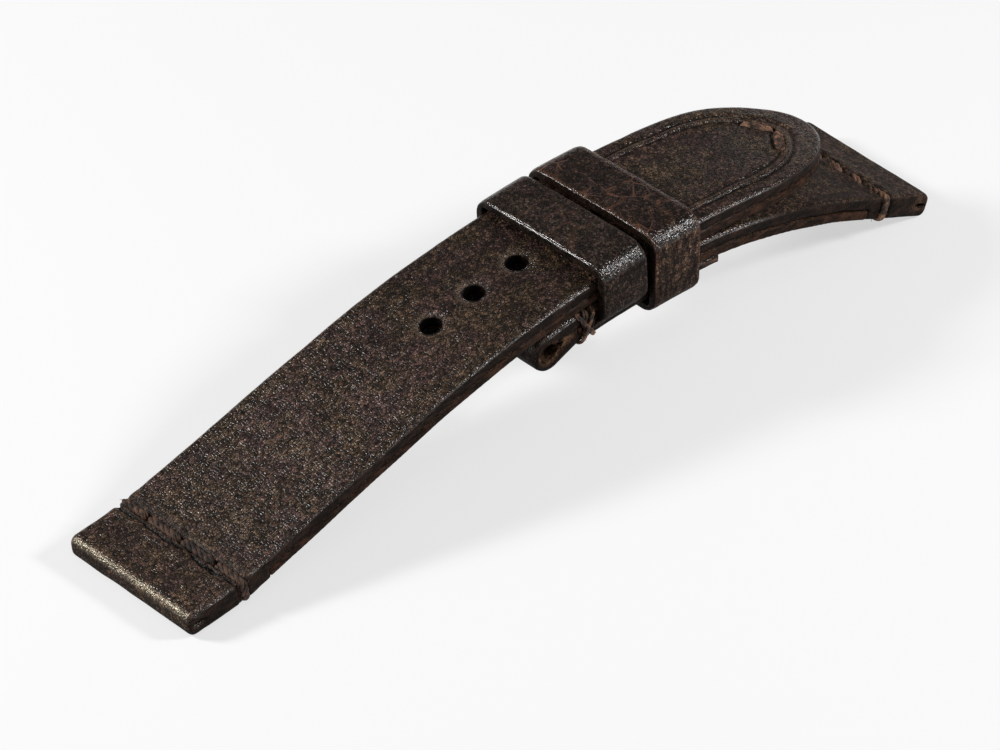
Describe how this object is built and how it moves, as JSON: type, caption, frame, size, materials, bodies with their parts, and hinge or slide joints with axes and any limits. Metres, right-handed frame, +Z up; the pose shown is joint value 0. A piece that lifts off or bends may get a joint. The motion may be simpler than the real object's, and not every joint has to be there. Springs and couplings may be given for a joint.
{
  "type": "leather watch strap",
  "caption": "Arched leather watch strap: the long strap's tail slides through a fixed and a loose keeper on the short strap, with spring bar bores and an open buckle loop",
  "frame": {"origin": "middle of the strap's base, on the surface that it lies on", "axes": "+X along the strap from the long strap's lug end to the short strap's, +Z up out of the arch, Y across the strap"},
  "size_m": [0.1376, 0.0254, 0.0228],
  "materials": {
    "outer_leather": "waxed, worn, fine grain",
    "lining_leather": "burnished edges, smooth",
    "keeper_leather": "waxed, worn edges",
    "sliding_keeper_leather": "waxed, cracked veins",
    "thread": "waxed twisted thread"
  },
  "bodies": {
    "short_strap": {"short_outer_leather": "outer_leather", "short_lining": "lining_leather", "short_lug_thread": "thread", "buckle_end_thread": "thread", "fixed_keeper": "keeper_leather"},
    "long_strap": {"long_outer_leather": "outer_leather", "long_lining": "lining_leather", "long_lug_thread": "thread", "long_tip_thread": "thread"},
    "sliding_keeper": {"sliding_keeper": "sliding_keeper_leather", "sliding_keeper_thread": "thread"}
  },
  "joints": [
    {"name": "long_strap_slide", "type": "hinge", "parent": "short_strap", "child": "long_strap", "pos_m": [0.01763, 0, -0.1396], "axis": [0, 1, 0], "range_deg": [-17, 5.7]},
    {"name": "sliding_keeper_slide", "type": "hinge", "parent": "short_strap", "child": "sliding_keeper", "pos_m": [0.01763, 0, -0.1396], "axis": [0, 1, 0], "range_deg": [-0.2, 2.1]}
  ]
}
